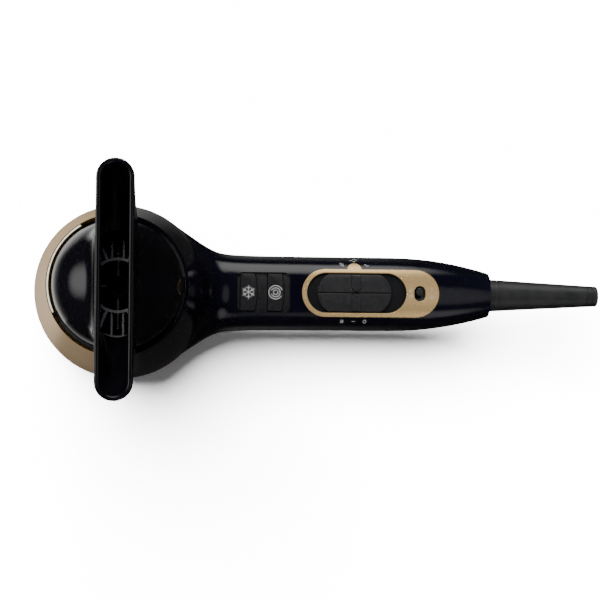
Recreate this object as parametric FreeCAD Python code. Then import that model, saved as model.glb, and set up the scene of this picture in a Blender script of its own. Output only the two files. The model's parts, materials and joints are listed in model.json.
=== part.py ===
import FreeCAD, Part
import math
import os

# Hair dryer with a slot concentrator nozzle, standing on its air inlet.
# Millimetres. Origin: centre of the flat inlet face. +Z is the way the air leaves,
# +X is the way the handle points, and the controls are on the handle's +Z face.

V = FreeCAD.Vector
UP = V(0, 0, 1)
ALONG_X = V(1, 0, 0)
ORIGIN = V(0, 0, 0)

# Barrel: a slightly swollen tube that narrows towards its outlet.
BARREL_R = 43.5
WIDEST_Z = 30.0
SWELL = 1400.0
TAPER_Z = 120.0
FRONT_Z = 168.0
FRONT_R = 30.9
CAP_Z = 20.0
COVER_WALL = 2.0
BARREL_WALL = 4.2
MOUTH_R = 29.8
LIP_R = 29.1
LIP_ARC = (122.0, 163.0, 204.0)
COVER_GAP = 0.3
SPIGOT_R = (38.6, 40.6)

# Handle: a rounded-square section that narrows to its end.
HANDLE_Z = 62.0
HANDLE_HALF_WIDTH = 18.3
HANDLE_HALF_DEPTH = 21.0
HANDLE_ROUNDNESS = 2.6
HANDLE_START_X = 20.0
HANDLE_END_X = 184.0
WIDTH_TAPER_X = 135.0
WIDTH_TAPER = 333.0
DEPTH_TAPER_X = 120.0
DEPTH_TAPER = 480.0
FLARE_X = 46.8
FLARE_SLOPE = 0.72
FLARE_SOFTNESS = 6.0
FLARE_TOP = 34.6
NECK_FILLET = 14.0
HANDLE_WALL = 2.2
END_WALL = 2.5
COVER_START_X = 46.0

# Two screws that close the handle, from behind.
SCREW_X = (87.0, 163.0)
POST_R = 3.2
POST_FOOT_Z = 52.0
SCREW_R = 1.5
SCREW_HEAD_R = 2.7
SCREW_HEAD_HEIGHT = 2.2
SCREW_SEAT_Z = 48.0
SCREW_TIP_Z = 68.0
CROSS_HALF = (2.0, 0.4)
CROSS_DEPTH = 1.0

# Air inlet: a slotted cap, a filter and the fan's bell mouth.
CAP_LEAN = 2.2
CAP_WALL = 2.0
CAP_LIP = 8.0
GRILLE_RINGS = ((12.0, 19.0, 16), (21.0, 28.0, 24), (30.0, 36.5, 32))
GRILLE_SLOT = 2.4
GRILLE_THICK = 2.5
FOOT_ROUND = 3.0
FILTER_R = (36.0, 38.2)
FILTER_Z = (4.0, 7.0)
FILTER_PITCH = 6.0
FILTER_BAR = 0.4
BELL_OUTLINE = ((31.0, 20.0), (38.4, 20.0), (38.4, 26.0), (32.4, 26.0), (30.6, 24.0))

# Control panel on the handle.
BEZEL_X = (88.4, 156.9)
BEZEL_HALF_WIDTH = 11.85
BEZEL_PROUD = 0.35
BEZEL_DEPTH = 1.2
BEZEL_FILLET = 0.4
WINDOW_X = (90.9, 140.2)
WINDOW_HALF_WIDTH = 9.75
TAB_X = 114.6
TAB_R = 3.8
TAB_Y = 11.1
SLIDER_X = (96.2, 132.6)
SLIDER_SPLIT = 0.2
SLIDER_EDGE_Y = 9.1
SLIDER_END_RISE = 5.5
SLIDER_TOP = 0.1
SLIDER_BOTTOM = 1.9
SLIDER_TRAVEL = 4.0
RIDGE_X = 115.0
RIDGE_WIDTH = 4.6
RIDGE_HEIGHT = 1.5
RIDGE_FILLET = 0.5
SLIDER_FILLET = 0.4
SLIDER_BOW = 1.6
STEM_HALF_LENGTH = 2.5
STEM_Y = (3.0, 6.0)
STEM_GAP = 0.4
PLATE_BOTTOM = 3.6
SWITCH_HALF_LENGTH = 14.0
SWITCH_Y = (1.2, 8.2)
ION_X = 147.0
ION_SLOT = (5.6, 7.4)
ION_KNOB = (3.8, 4.1)
ION_REST_Y = 0.95
ION_TRAVEL = 1.9

# Two sprung keys between the barrel and the bezel.
RECESS_X = (56.6, 82.6)
RECESS_HALF_WIDTH = 9.8
RECESS_CORNER = 3.0
RECESS_DEPTH = 1.5
FRAME_BOTTOM = 3.5
FRAME_FLANGE = 1.5
COOL_KEY_X = (58.2, 66.4)
TURBO_KEY_X = (71.6, 79.6)
KEY_HALF_WIDTH = 9.1
KEY_BULGE = 1.1
KEY_DIP = 1.5
KEY_LIP = 0.9
KEY_FILLET = 0.3
KEY_GAP = 0.3
KEY_FOOT_Z = 75.2
SPRING_FOOT_Z = 70.0
SPRING_R = 2.5
SPRING_WIRE_R = 0.35
SPRING_TURNS = 3.5

# Circuit boards inside the handle.
BOARD_Z = 66.0
BOARD_THICK = 1.6
BOARD_X = (92.0, 156.0)
BOARD_HALF_WIDTH = 10.0
SWITCH_TOP_Z = 75.0
KEY_BOARD_Z = (63.0, 64.4)
KEY_BOARD_X = (57.5, 82.5)
KEY_BOARD_HALF_WIDTH = 8.0
KEY_SWITCH_HALF = (3.5, 5.0)
ION_CASE = (62.0, 82.0, -9.0, 9.0, 47.0, 56.0)

# Strain relief for the cord, on the handle's end.
RELIEF_END_X = 241.2
RELIEF_R = (8.2, 5.1)
RELIEF_FLANGE_R = 9.2
RELIEF_FLANGE = 2.5
RELIEF_RINGS = (2.4, 5.0, 51.2, 53.8)
RING_WIDTH = 0.5
RING_DEPTH = 0.45
CORD_R = 3.5

# Clamp that holds the cord, and the leads inside the housing.
CLAMP_X = (168.0, 174.0)
CLAMP_HALF_WIDTH = 8.0
CLAMP_Z = (56.0, 67.0)
CLAMP_SCREW_R = 1.2
CLAMP_SCREW_Y = 5.8
LEAD_R = 1.0
LEAD_Y = 5.0

# Nozzle: a dome with a flat flared duct, on a collar that grips the outlet neck.
NECK_R = 25.9
NECK_BORE_R = 23.8
NECK_BASE_Z = 154.0
NECK_TIP_Z = 168.0
COLLAR_R = (26.0, 27.2)
COLLAR_Z = (160.0, 173.5)
CLICK_Z = (169.8, 171.8)
CLICK_HEIGHT = 0.4
NOZZLE_R = (27.3, 28.4)
NOZZLE_RIM_Z = 168.6
KEY_TAB = (27.8, 29.2, -3.6, 3.6, 169.2, 174.2)
DOME_Z = 170.0
DOME_HEIGHT = 24.0
NOZZLE_TIP_Z = 235.0
SLOT_HALF_LENGTH = 48.5
SLOT_HALF_WIDTH = 7.7
SLOT_WALL = 2.2
DUCT_BASE_Z = 176.0
DUCT_BASE_HALF_LENGTH = 22.0
DUCT_BASE_HALF_WIDTH = 10.5
DOME_WALL = 1.8
DOME_FILLET = 10.0
TIP_FILLET = 0.9

# Fan, motor and heater on the barrel's axis.
DUCT_WALL = 1.4
DUCT_R = 37.5
DUCT_Z = (26.0, 66.0, 104.0, 154.0)
DUCT_FRONT_R = (27.0, 25.4)
IMPELLER_R = 35.0
IMPELLER_Z = (30.0, 50.0)
HUB_R = 12.0
BLADE_COUNT = 9
BLADE_TILT = 35.0
BLADE_HALF_THICK = 0.8
SHAFT_R = 2.0
SHAFT_END = 3.0
ROTOR_R = 11.0
ROTOR_Z = (62.0, 86.0)
MOTOR_R = 16.0
MOTOR_Z = (56.0, 92.0)
CAN_WALL = 2.0
CAN_END = 3.0
MAGNET_R = 11.6
MAGNET_GAP = 3.0
BEARING_R = 5.0
BEARING_GAP = 0.05
DAMPER_Z = (60.0, 84.0)
DAMPER_LENGTH = 4.0
MOUNT_R = (17.0, 18.6)
MOUNT_FLOOR_R = 7.0
VANE_COUNT = 7
VANE_HALF_THICK = 0.7
VANE_LENGTH = 10.0
HEATER_Z = (104.0, 148.0)
HEATER_R = 19.0
HEATER_TURNS = 9
HEATER_WIRE_R = 0.5
INNER_COIL_R = 10.0
HEAT_TUBE_R = (21.8, 22.6)
HEAT_TUBE_Z = (105.0, 152.0)
MICA_HALF_THICK = 0.4
MICA_GAP = 0.1
THERMOSTAT_R = (5.0, 3.6)
THERMOSTAT_Z = (148.0, 150.4, 152.0)
FUSE_AT = (5.0, 2.2)
FUSE_R = 1.5
FUSE_Z = (120.0, 130.0)
FUSE_PIN_R = 0.4
FUSE_PIN = 4.0
EMITTER_R = 3.0
EMITTER_Z = (152.0, 154.5, 159.0)
NEEDLE_R = (0.9, 0.15)

# Outlet grille in the neck.
OUTLET_R = (22.2, 11.0, 12.2)
OUTLET_BASE = 4.0
OUTLET_DEPTH = 4.0
SPOKE_COUNT = 8
SPOKE_HALF = 0.6
SPOKE_DEPTH = 3.0
RIB_Y = 2.5
RIB_HALF = 0.4
RIB_DEPTH = 1.6


def save(shape, node):
    shape.exportStep("parts/" + node + ".step")


def box(x0, x1, y0, y1, z0, z1):
    return Part.makeBox(x1 - x0, y1 - y0, z1 - z0, V(x0, y0, z0))


def rod(radius, z0, z1, x=0.0, y=0.0):
    return Part.makeCylinder(radius, z1 - z0, V(x, y, z0), UP)


def rod_x(radius, x0, x1, y=0.0, z=HANDLE_Z):
    return Part.makeCylinder(radius, x1 - x0, V(x0, y, z), ALONG_X)


def tube(r_in, r_out, z0, z1, x=0.0, y=0.0):
    return rod(r_out, z0, z1, x, y).cut(rod(r_in, z0 - 1, z1 + 1, x, y))


def turned(points):
    """Solid of revolution about Z from a closed outline of (radius, height) points."""
    outline = [V(-r, 0, z) for r, z in points]
    face = Part.Face(Part.makePolygon(outline + outline[:1]))
    return face.revolve(ORIGIN, UP, 360)


def line(p, q):
    return Part.LineSegment(p, q).toShape()


def arc(p, middle, q):
    return Part.Arc(p, middle, q).toShape()


def prism(edges, z0, z1):
    """Upright prism on a closed outline drawn at height zero."""
    face = Part.Face(Part.Wire(edges))
    face.translate(V(0, 0, z0))
    return face.extrude(V(0, 0, z1 - z0))


def stadium(x0, x1, half_width):
    """Slot outline with full-round ends, long way along X."""
    a = x0 + half_width
    b = x1 - half_width
    return [
        line(V(a, half_width, 0), V(b, half_width, 0)),
        arc(V(b, half_width, 0), V(x1, 0, 0), V(b, -half_width, 0)),
        line(V(b, -half_width, 0), V(a, -half_width, 0)),
        arc(V(a, -half_width, 0), V(x0, 0, 0), V(a, half_width, 0)),
    ]


def wire_path(points, radius):
    """Stiff lead of straight runs with a ball at each bend."""
    lead = None
    for p, q in zip(points, points[1:]):
        start = V(*p)
        run = V(*q) - start
        piece = Part.makeCylinder(radius, run.Length, start, run)
        lead = piece if lead is None else lead.fuse(piece)
    for p in points[1:-1]:
        lead = lead.fuse(Part.makeSphere(radius, V(*p)))
    return lead.removeSplitter()


def skin_level(point, wide=HANDLE_HALF_WIDTH, deep=HANDLE_HALF_DEPTH):
    """One on the handle's skin, more outside it, less inside it."""
    across = (abs(point.y) / wide) ** HANDLE_ROUNDNESS
    return across + (abs(point.z - HANDLE_Z) / deep) ** HANDLE_ROUNDNESS


def mid_point(edge):
    return edge.valueAt((edge.FirstParameter + edge.LastParameter) / 2)


# ---- outer form -----------------------------------------------------------------


def barrel_radius(z):
    if z <= TAPER_Z:
        return BARREL_R - (z - WIDEST_Z) ** 2 / SWELL
    start = BARREL_R - (TAPER_Z - WIDEST_Z) ** 2 / SWELL
    slope = 2 * (TAPER_Z - WIDEST_Z) / SWELL
    length = FRONT_Z - TAPER_Z
    bend = (start - FRONT_R - slope * length) / length ** 2
    return start - slope * (z - TAPER_Z) - bend * (z - TAPER_Z) ** 2


def barrel(inset, z0, z1):
    """Solid barrel between two heights, inset from the outer skin."""
    steps = 10
    heights = [z0 + (z1 - z0) * i / steps for i in range(steps + 1)]
    skin = Part.BSplineCurve()
    skin.interpolate([V(inset - barrel_radius(z), 0, z) for z in heights])
    outline = [
        skin.toShape(),
        line(V(inset - barrel_radius(z1), 0, z1), V(0, 0, z1)),
        line(V(0, 0, z1), V(0, 0, z0)),
        line(V(0, 0, z0), V(inset - barrel_radius(z0), 0, z0)),
    ]
    return Part.Face(Part.Wire(outline)).revolve(ORIGIN, UP, 360)


def half_width(x):
    width = HANDLE_HALF_WIDTH
    if x > WIDTH_TAPER_X:
        width -= (x - WIDTH_TAPER_X) ** 2 / WIDTH_TAPER
    reach = FLARE_X - x
    flare = FLARE_SLOPE * (math.hypot(reach, FLARE_SOFTNESS) + reach) / 2
    return min(width + flare, FLARE_TOP)


def half_depth(x):
    if x <= DEPTH_TAPER_X:
        return HANDLE_HALF_DEPTH
    return HANDLE_HALF_DEPTH - (x - DEPTH_TAPER_X) ** 2 / DEPTH_TAPER


def handle_section(x, wide, deep):
    """Rounded-square section across the handle."""
    power = 2 / HANDLE_ROUNDNESS
    count = 16
    points = []
    for i in range(count):
        turn = 2 * math.pi * i / count
        y = wide * math.copysign(abs(math.cos(turn)) ** power, math.cos(turn))
        z = deep * math.copysign(abs(math.sin(turn)) ** power, math.sin(turn))
        points.append(V(x, y, HANDLE_Z + z))
    curve = Part.BSplineCurve()
    curve.interpolate(Points=points, PeriodicFlag=True)
    return Part.Wire(curve.toShape())


def handle(inset=0.0, end_x=HANDLE_END_X):
    stations = [HANDLE_START_X, 26, 31, 36, 42, 48, 54, 60, 75, 100, 120, 135, 150, 165, 176, end_x]
    sections = [handle_section(x, half_width(x) - inset, half_depth(x) - inset) for x in stations]
    return Part.makeLoft(sections, True, False)


def straight_handle(inset):
    """Handle form without its taper, for flat pieces that slide along it."""
    wide = HANDLE_HALF_WIDTH - inset
    deep = HANDLE_HALF_DEPTH - inset
    return Part.makeLoft([handle_section(x, wide, deep) for x in (80, 100, 130, 160)], True, False)


def on_skin(edge):
    middle = mid_point(edge)
    radius = math.hypot(middle.x, middle.y)
    return edge.BoundBox.XMin > HANDLE_START_X and abs(radius - barrel_radius(middle.z)) < 0.05


def outer_form():
    """Barrel and handle as one smooth solid."""
    form = barrel(0.0, CAP_Z, FRONT_Z).fuse(handle()).Solids[0]
    return form.makeFillet(NECK_FILLET, [edge for edge in form.Edges if on_skin(edge)])


def inner_form():
    """Everything hollow inside the housing."""
    hollow = barrel(BARREL_WALL, CAP_Z - 1, NECK_BASE_Z - 2)
    hollow = hollow.fuse(rod(MOUTH_R, NECK_BASE_Z - 3, FRONT_Z + 1))
    return hollow.fuse(handle(HANDLE_WALL, HANDLE_END_X - END_WALL))


def band(top, bottom, form=handle):
    """Layer under the handle's skin between two depths, front half only."""
    layer = form(top).cut(form(bottom))
    return layer.common(box(50, 180, -30, 30, HANDLE_Z + 8, HANDLE_Z + 40))


# ---- housing --------------------------------------------------------------------


def cover_side(gap=0.0):
    """Wedge of space on the -X side that the metallic barrel cover fills."""
    rear = V(-12 + gap, 0, CAP_Z + 1.2 - gap)
    top = V(2 + gap, 0, FRONT_Z + 5)
    outline = [rear, top, V(-60, 0, top.z), V(-60, 0, rear.z), rear]
    face = Part.Face(Part.makePolygon([p - V(0, 60, 0) for p in outline]))
    return face.extrude(V(0, 120, 0))


def cover_lip():
    """Part of the mouth where the cover reaches further in."""
    reach = 60.0
    corners = [V(reach * math.cos(math.radians(a)), reach * math.sin(math.radians(a)), 0) for a in LIP_ARC]
    edges = [line(p, q) for p, q in zip([ORIGIN] + corners, corners + [ORIGIN])]
    sector = prism(edges, FRONT_Z - COVER_WALL, FRONT_Z + 1)
    return sector.common(tube(LIP_R, MOUTH_R + 1, FRONT_Z - COVER_WALL, FRONT_Z + 1))


def barrel_cover():
    layer = barrel(0.0, CAP_Z, FRONT_Z).cut(barrel(COVER_WALL, CAP_Z - 1, FRONT_Z + 1))
    mouth = rod(MOUTH_R, NECK_BASE_Z, FRONT_Z + 1).cut(cover_lip())
    return layer.common(cover_side()).cut(mouth)


def cover_pocket():
    layer = barrel(-1.0, CAP_Z, FRONT_Z + 2).cut(barrel(COVER_WALL, CAP_Z - 1, FRONT_Z + 3))
    return layer.common(cover_side(COVER_GAP))


def bezel_prism():
    low = HANDLE_Z + 8
    high = HANDLE_Z + 30
    return prism(stadium(BEZEL_X[0], BEZEL_X[1], BEZEL_HALF_WIDTH), low, high).fuse(
        rod(TAB_R, low, high, TAB_X, TAB_Y)
    )


def window_prism(margin=0.0):
    ends = stadium(WINDOW_X[0] - margin, WINDOW_X[1] + margin, WINDOW_HALF_WIDTH + margin)
    return prism(ends, HANDLE_Z + 8, HANDLE_Z + 30)


def ion_slot_prism(margin=0.0):
    half_length = ION_SLOT[1] / 2 + margin
    slot = prism(stadium(-half_length, half_length, ION_SLOT[0] / 2 + margin), HANDLE_Z + 8, HANDLE_Z + 30)
    slot.rotate(ORIGIN, UP, 90)
    slot.translate(V(ION_X, 0, 0))
    return slot


def recess_prism(margin=0.0):
    x0 = RECESS_X[0] - margin
    x1 = RECESS_X[1] + margin
    y = RECESS_HALF_WIDTH + margin
    block = box(x0, x1, -y, y, HANDLE_Z + 8, HANDLE_Z + 40)
    upright = [e for e in block.Edges if abs(e.tangentAt(e.FirstParameter).z) > 0.9]
    return block.makeFillet(RECESS_CORNER, upright)


def screw_posts():
    posts = [rod(POST_R, POST_FOOT_Z, HANDLE_Z + HANDLE_HALF_DEPTH, x) for x in SCREW_X]
    return Part.makeCompound(posts)


def handle_side(z0, z1):
    """Space beyond the barrel that one handle cover fills."""
    return box(COVER_START_X, HANDLE_END_X + 5, -40, 40, z0, z1)


def main_housing(skin):
    body = skin.cut(handle_side(CAP_Z - 5, FRONT_Z + 5)).cut(cover_pocket())
    body = body.fuse(tube(SPIGOT_R[0], SPIGOT_R[1], CAP_Z - 7, CAP_Z + 2))
    low = FRONT_Z - 1.2
    high = FRONT_Z + 0.2
    return body.cut(turned([(MOUTH_R, low), (MOUTH_R + 0.7, high), (0, high), (0, low)]))


def front_handle_cover(skin, form):
    body = skin.common(handle_side(HANDLE_Z, FRONT_Z + 5))
    posts = screw_posts().common(form)
    body = body.fuse(posts)
    body = body.cut(bezel_prism().cut(handle(BEZEL_DEPTH)))
    body = body.cut(window_prism()).cut(ion_slot_prism())
    body = body.cut(recess_prism())
    for x in SCREW_X:
        body = body.cut(rod(SCREW_R, POST_FOOT_Z - 1, SCREW_TIP_Z, x))
    return body.cut(rod_x(RELIEF_R[0], HANDLE_END_X - 20, HANDLE_END_X + 1))


def rear_handle_cover(skin, form):
    cover = skin.common(handle_side(CAP_Z - 5, HANDLE_Z))
    bosses = [rod(POST_R + 1.2, HANDLE_Z - 30, POST_FOOT_Z, x) for x in SCREW_X]
    cover = cover.fuse(Part.makeCompound(bosses).common(form))
    for x in SCREW_X:
        cover = cover.cut(rod(SCREW_HEAD_R + 0.2, HANDLE_Z - 30, SCREW_SEAT_Z, x))
        cover = cover.cut(rod(SCREW_R + 0.1, SCREW_SEAT_Z - 1, POST_FOOT_Z + 1, x))
    return cover.cut(rod_x(RELIEF_R[0], HANDLE_END_X - 20, HANDLE_END_X + 1))


def housing_screws():
    screws = []
    for x in SCREW_X:
        base = SCREW_SEAT_Z - SCREW_HEAD_HEIGHT
        head = rod(SCREW_HEAD_R, base, SCREW_SEAT_Z, x)
        for dx, dy in (CROSS_HALF, CROSS_HALF[::-1]):
            head = head.cut(box(x - dx, x + dx, -dy, dy, base - 1, base + CROSS_DEPTH))
        screws.append(head.fuse(rod(SCREW_R, SCREW_SEAT_Z, SCREW_TIP_Z - 2, x)))
    return Part.makeCompound(screws)


# ---- air inlet ------------------------------------------------------------------

def rear_cap():
    """Cup with a flat slotted floor, which the dryer stands on."""
    rim_r = barrel_radius(CAP_Z)
    foot_r = rim_r - CAP_LEAN
    corner = FOOT_ROUND * (1 - math.sqrt(0.5))
    bend = arc(V(FOOT_ROUND - foot_r, 0, 0), V(corner - foot_r, 0, corner), V(-foot_r, 0, FOOT_ROUND))
    wall = [
        V(-foot_r, 0, FOOT_ROUND), V(-rim_r, 0, CAP_Z), V(CAP_WALL - rim_r, 0, CAP_Z),
        V(CAP_WALL - rim_r, 0, CAP_Z - CAP_LIP), V(CAP_LEAN - foot_r, 0, GRILLE_THICK),
        V(0, 0, GRILLE_THICK), ORIGIN, V(FOOT_ROUND - foot_r, 0, 0),
    ]
    outline = [bend] + [line(p, q) for p, q in zip(wall, wall[1:])]
    cup = Part.Face(Part.Wire(outline)).revolve(ORIGIN, UP, 360)
    slots = []
    for r0, r1, count in GRILLE_RINGS:
        for i in range(count):
            slot = box(r0, r1, -GRILLE_SLOT / 2, GRILLE_SLOT / 2, -1, GRILLE_THICK + 1)
            slot.rotate(ORIGIN, UP, 360 * (i + 0.5) / count)
            slots.append(slot)
    return cup.cut(slots)


def inlet_filter():
    """Ring with a square mesh of thin bars."""
    r0, r1 = FILTER_R
    z0, z1 = FILTER_Z
    ring = tube(r0, r1, z0, z1)
    bars = []
    for i in range(-5, 6):
        at = i * FILTER_PITCH
        reach = math.sqrt((r0 + 0.5) ** 2 - at ** 2)
        bars.append(box(-reach, reach, at - FILTER_BAR, at + FILTER_BAR, z0 + 1, z1 - 1.2))
        bars.append(box(at - FILTER_BAR, at + FILTER_BAR, -reach, reach, z0 + 1, z1 - 1.2))
    return ring.fuse(bars).removeSplitter()


def inlet_bell():
    """Rounded mouth that leads the air into the impeller."""
    return turned(BELL_OUTLINE)


# ---- fan, motor and heater ------------------------------------------------------


def air_duct():
    z0, z1, z2, z3 = DUCT_Z
    r2, r3 = DUCT_FRONT_R
    outer = [(DUCT_R, z0), (DUCT_R, z1), (r2, z2), (r3, z3)]
    inner = [(r - DUCT_WALL, z) for r, z in reversed(outer)]
    return turned(outer + inner)


def impeller():
    z0, z1 = IMPELLER_Z
    wheel = rod(HUB_R, z0, z1)
    middle = V(0, 0, (z0 + z1) / 2)
    blade = box(HUB_R - 2, IMPELLER_R + 2, -BLADE_HALF_THICK, BLADE_HALF_THICK, z0 - 4, z1 + 4)
    blade.rotate(middle, ALONG_X, BLADE_TILT)
    for i in range(BLADE_COUNT):
        wheel = wheel.fuse(blade.rotated(ORIGIN, UP, 360 * i / BLADE_COUNT))
    wheel = wheel.common(rod(IMPELLER_R, z0, z1))
    return wheel.cut(rod(SHAFT_R, z0 - 1, z1 + 1))


def fan_shaft():
    return rod(SHAFT_R, IMPELLER_Z[0] - SHAFT_END, MOTOR_Z[1] + SHAFT_END)


def motor_rotor():
    return tube(SHAFT_R, ROTOR_R, ROTOR_Z[0], ROTOR_Z[1])


def motor_can():
    z0, z1 = MOTOR_Z
    can = rod(MOTOR_R, z0, z1).cut(rod(MOTOR_R - CAN_WALL, z0 + CAN_END, z1 - CAN_END))
    return can.cut(rod(BEARING_R, z0 - 1, z1 + 1))


def motor_magnets():
    z0, z1 = ROTOR_Z
    ring = tube(MAGNET_R, MOTOR_R - CAN_WALL, z0, z1)
    return ring.cut(box(-MOTOR_R, MOTOR_R, -MAGNET_GAP, MAGNET_GAP, z0 - 1, z1 + 1))


def bearing(z0):
    return tube(SHAFT_R + BEARING_GAP, BEARING_R, z0, z0 + CAN_END)


def damper_rings():
    return Part.makeCompound([tube(MOTOR_R, MOUNT_R[0], z, z + DAMPER_LENGTH) for z in DAMPER_Z])


def motor_mount():
    """Cup for the motor, held in the duct by straightening vanes."""
    z0, z1 = MOTOR_Z
    floor = tube(MOUNT_FLOOR_R, MOUNT_R[1], z0 - 2, z0)
    cup = tube(MOUNT_R[0], MOUNT_R[1], z0 - 2, z1 - 2).fuse(floor)
    bore = DUCT_R - DUCT_WALL
    vane = box(MOUNT_R[1] - 0.4, bore + 2, -VANE_HALF_THICK, VANE_HALF_THICK, z0, z0 + VANE_LENGTH)
    for i in range(VANE_COUNT):
        cup = cup.fuse(vane.rotated(ORIGIN, UP, 360 * (i + 0.5) / VANE_COUNT))
    return cup.common(rod(bore, z0 - 3, z1 + 3))


def heat_tube():
    return tube(HEAT_TUBE_R[0], HEAT_TUBE_R[1], HEAT_TUBE_Z[0], HEAT_TUBE_Z[1])


def inner_coil(wire_r):
    z0, z1 = HEATER_Z
    pitch = (z1 - z0 - 8) / (HEATER_TURNS - 1)
    rings = []
    for i in range(HEATER_TURNS):
        rings.append(Part.makeTorus(INNER_COIL_R, wire_r, V(0, 0, z0 + 4 + i * pitch), UP))
    return Part.makeCompound(rings)


def outer_coil():
    z0, z1 = HEATER_Z
    pitch = (z1 - z0 - 4) / (HEATER_TURNS - 1)
    radius = HEATER_R + HEATER_WIRE_R
    rings = []
    for i in range(HEATER_TURNS):
        rings.append(Part.makeTorus(radius, HEATER_WIRE_R, V(0, 0, z0 + 2 + i * pitch), UP))
    return Part.makeCompound(rings)


def mica_boards():
    """Two crossed boards, each slotted half way for the other."""
    z0, z1 = HEATER_Z
    middle = (z0 + z1) / 2
    room = inner_coil(HEATER_WIRE_R + MICA_GAP)
    half = MICA_HALF_THICK
    slot = half + MICA_GAP
    first = box(-HEATER_R, HEATER_R, -half, half, z0, z1).cut(box(-slot, slot, -1, 1, middle, z1 + 1))
    second = box(-half, half, -HEATER_R, HEATER_R, z0, z1).cut(box(-1, 1, -slot, slot, z0 - 1, middle))
    return first.cut(room), second.cut(room)


def thermostat():
    z0, z1, z2 = THERMOSTAT_Z
    return rod(THERMOSTAT_R[0], z0, z1).fuse(rod(THERMOSTAT_R[1], z1, z2)).removeSplitter()


def thermal_fuse():
    x, y = FUSE_AT
    z0, z1 = FUSE_Z
    return rod(FUSE_R, z0, z1, x, y).fuse(rod(FUSE_PIN_R, z0 - FUSE_PIN, z1 + FUSE_PIN, x, y))


def ion_emitter():
    """Carbon-tipped needle in its plastic holder, in the middle of the outlet."""
    z0, z1, z2 = EMITTER_Z
    needle = Part.makeCone(NEEDLE_R[0], NEEDLE_R[1], z2 - z1, V(0, 0, z1), UP)
    return rod(EMITTER_R, z0, z1).fuse(needle)


def ion_generator():
    case = box(*ION_CASE)
    return case.makeFillet(1.0, case.Edges)


# ---- outlet and nozzle ----------------------------------------------------------


def front_neck():
    return turned([
        (NECK_BORE_R, NECK_BASE_Z), (MOUTH_R, NECK_BASE_Z), (MOUTH_R, NECK_BASE_Z + 3),
        (NECK_R, NECK_BASE_Z + 3), (NECK_R, NECK_TIP_Z - 0.6), (NECK_R - 0.6, NECK_TIP_Z),
        (NECK_BORE_R, NECK_TIP_Z),
    ])


def outlet_grille():
    low = NECK_BASE_Z + OUTLET_BASE
    rim, r0, r1 = OUTLET_R
    grille = tube(rim, NECK_BORE_R, low, low + OUTLET_DEPTH).fuse(tube(r0, r1, low, low + SPOKE_DEPTH))
    for i in range(SPOKE_COUNT):
        spoke = box(r0 + 0.6, rim + 0.6, -SPOKE_HALF, SPOKE_HALF, low, low + SPOKE_DEPTH)
        grille = grille.fuse(spoke.rotated(ORIGIN, UP, 360 * (i + 0.5) / SPOKE_COUNT))
    for y in (-RIB_Y, RIB_Y):
        rib = box(-rim - 0.4, rim + 0.4, y - RIB_HALF, y + RIB_HALF, low, low + RIB_DEPTH)
        rib = rib.rotated(ORIGIN, UP, 90).cut(rod(r0 + 0.4, low - 1, low + 5))
        grille = grille.fuse(rib)
    return grille.removeSplitter()


def nozzle_collar():
    """Ring with a ridge that the nozzle clicks over."""
    r0, r1 = COLLAR_R
    z0, z1 = COLLAR_Z
    low, high = CLICK_Z
    crest = r1 + CLICK_HEIGHT
    return turned([
        (r0, z0), (r1, z0), (r1, low), (crest, low + CLICK_HEIGHT), (crest, high - CLICK_HEIGHT),
        (r1, high), (r1, z1), (r0, z1),
    ])


def duct_section(z, inset=0.0):
    """Full-round slot section of the flat duct at a height, long way along Y."""
    rise = (z - DUCT_BASE_Z) / (NOZZLE_TIP_Z - DUCT_BASE_Z)
    long_half = DUCT_BASE_HALF_LENGTH + (SLOT_HALF_LENGTH - DUCT_BASE_HALF_LENGTH) * rise ** 0.9
    wide_half = SLOT_HALF_WIDTH + (DUCT_BASE_HALF_WIDTH - SLOT_HALF_WIDTH) * (1 - rise) ** 2
    section = Part.Wire(stadium(inset - long_half, long_half - inset, wide_half - inset))
    section.rotate(ORIGIN, UP, 90)
    section.translate(V(0, 0, z))
    return section


def duct_solid(inset=0.0):
    levels = 5
    step = (NOZZLE_TIP_Z - DUCT_BASE_Z) / levels
    heights = [DUCT_BASE_Z + i * step for i in range(levels + 1)]
    return Part.makeLoft([duct_section(z, inset) for z in heights], True, False)


def dome_solid(radius, height, foot_z):
    """Skirt below a half-ellipse dome."""
    steps = 8
    points = []
    for i in range(steps + 1):
        turn = math.pi / 2 * i / steps
        points.append(V(-radius * math.cos(turn), 0, DOME_Z + height * math.sin(turn)))
    crown = Part.BSplineCurve()
    crown.interpolate(Points=points, InitialTangent=UP, FinalTangent=ALONG_X)
    outline = [
        crown.toShape(),
        line(points[-1], V(0, 0, foot_z)),
        line(V(0, 0, foot_z), V(-radius, 0, foot_z)),
        line(V(-radius, 0, foot_z), points[0]),
    ]
    return Part.Face(Part.Wire(outline)).revolve(ORIGIN, UP, 360)


def crosses_dome(edge):
    box_of = edge.BoundBox
    return box_of.ZMin > DOME_Z + 1 and box_of.ZMax < DOME_Z + DOME_HEIGHT + 1 and edge.Length > 5


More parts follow.
